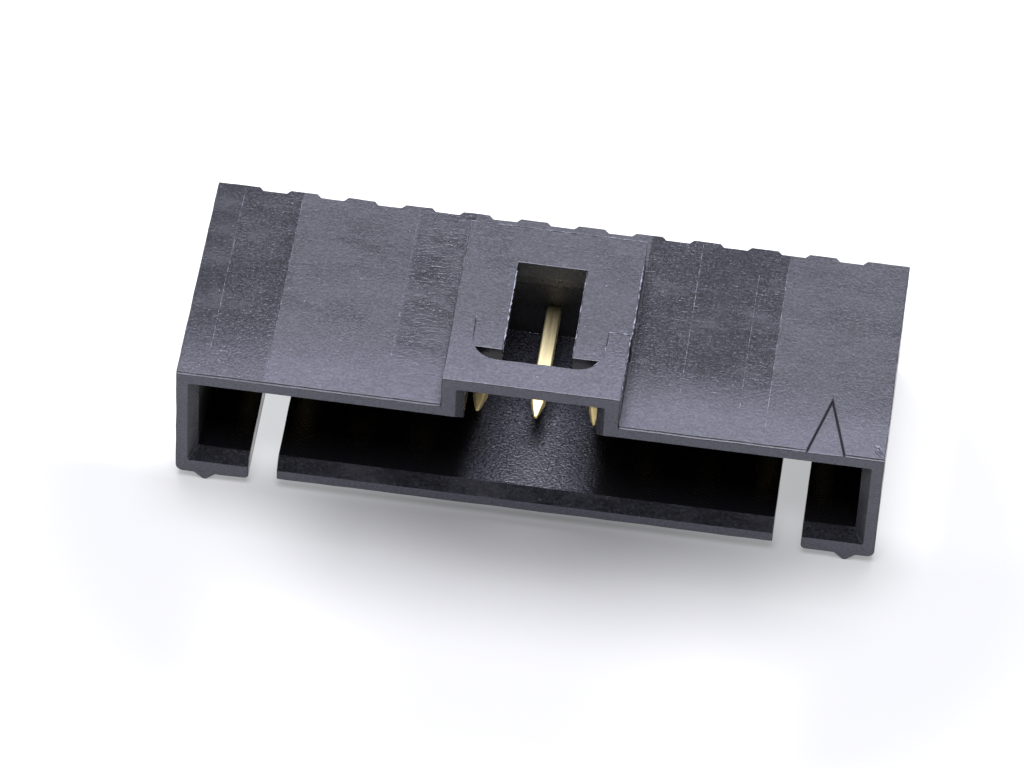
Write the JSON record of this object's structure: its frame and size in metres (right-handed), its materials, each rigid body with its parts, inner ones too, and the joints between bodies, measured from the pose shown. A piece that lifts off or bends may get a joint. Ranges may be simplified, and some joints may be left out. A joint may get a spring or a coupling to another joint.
{
  "type": "shrouded pin header",
  "caption": "Black moulded single-row pin header with a shroud, a raised latch hood with a window, and square gold-plated posts for soldering upright on a board.",
  "frame": {"origin": "middle of the row of posts, in the board plane that the stand-off bars touch", "axes": "+X along the row towards post 1, +Y out of the board side along the solder tails, +Z towards the latch hood"},
  "size_m": [0.0304, 0.0142, 0.0084],
  "materials": {
    "moulding": "black glass-filled nylon, moulded, satin with eroded patches",
    "post": "drawn copper alloy wire, gold plated, satin"
  },
  "bodies": {
    "root": {"housing": "moulding", "pin_01": "post", "pin_02": "post", "pin_03": "post", "pin_04": "post", "pin_05": "post", "pin_06": "post", "pin_07": "post", "pin_08": "post", "pin_09": "post", "pin_10": "post", "pin_11": "post"}
  },
  "joints": []
}
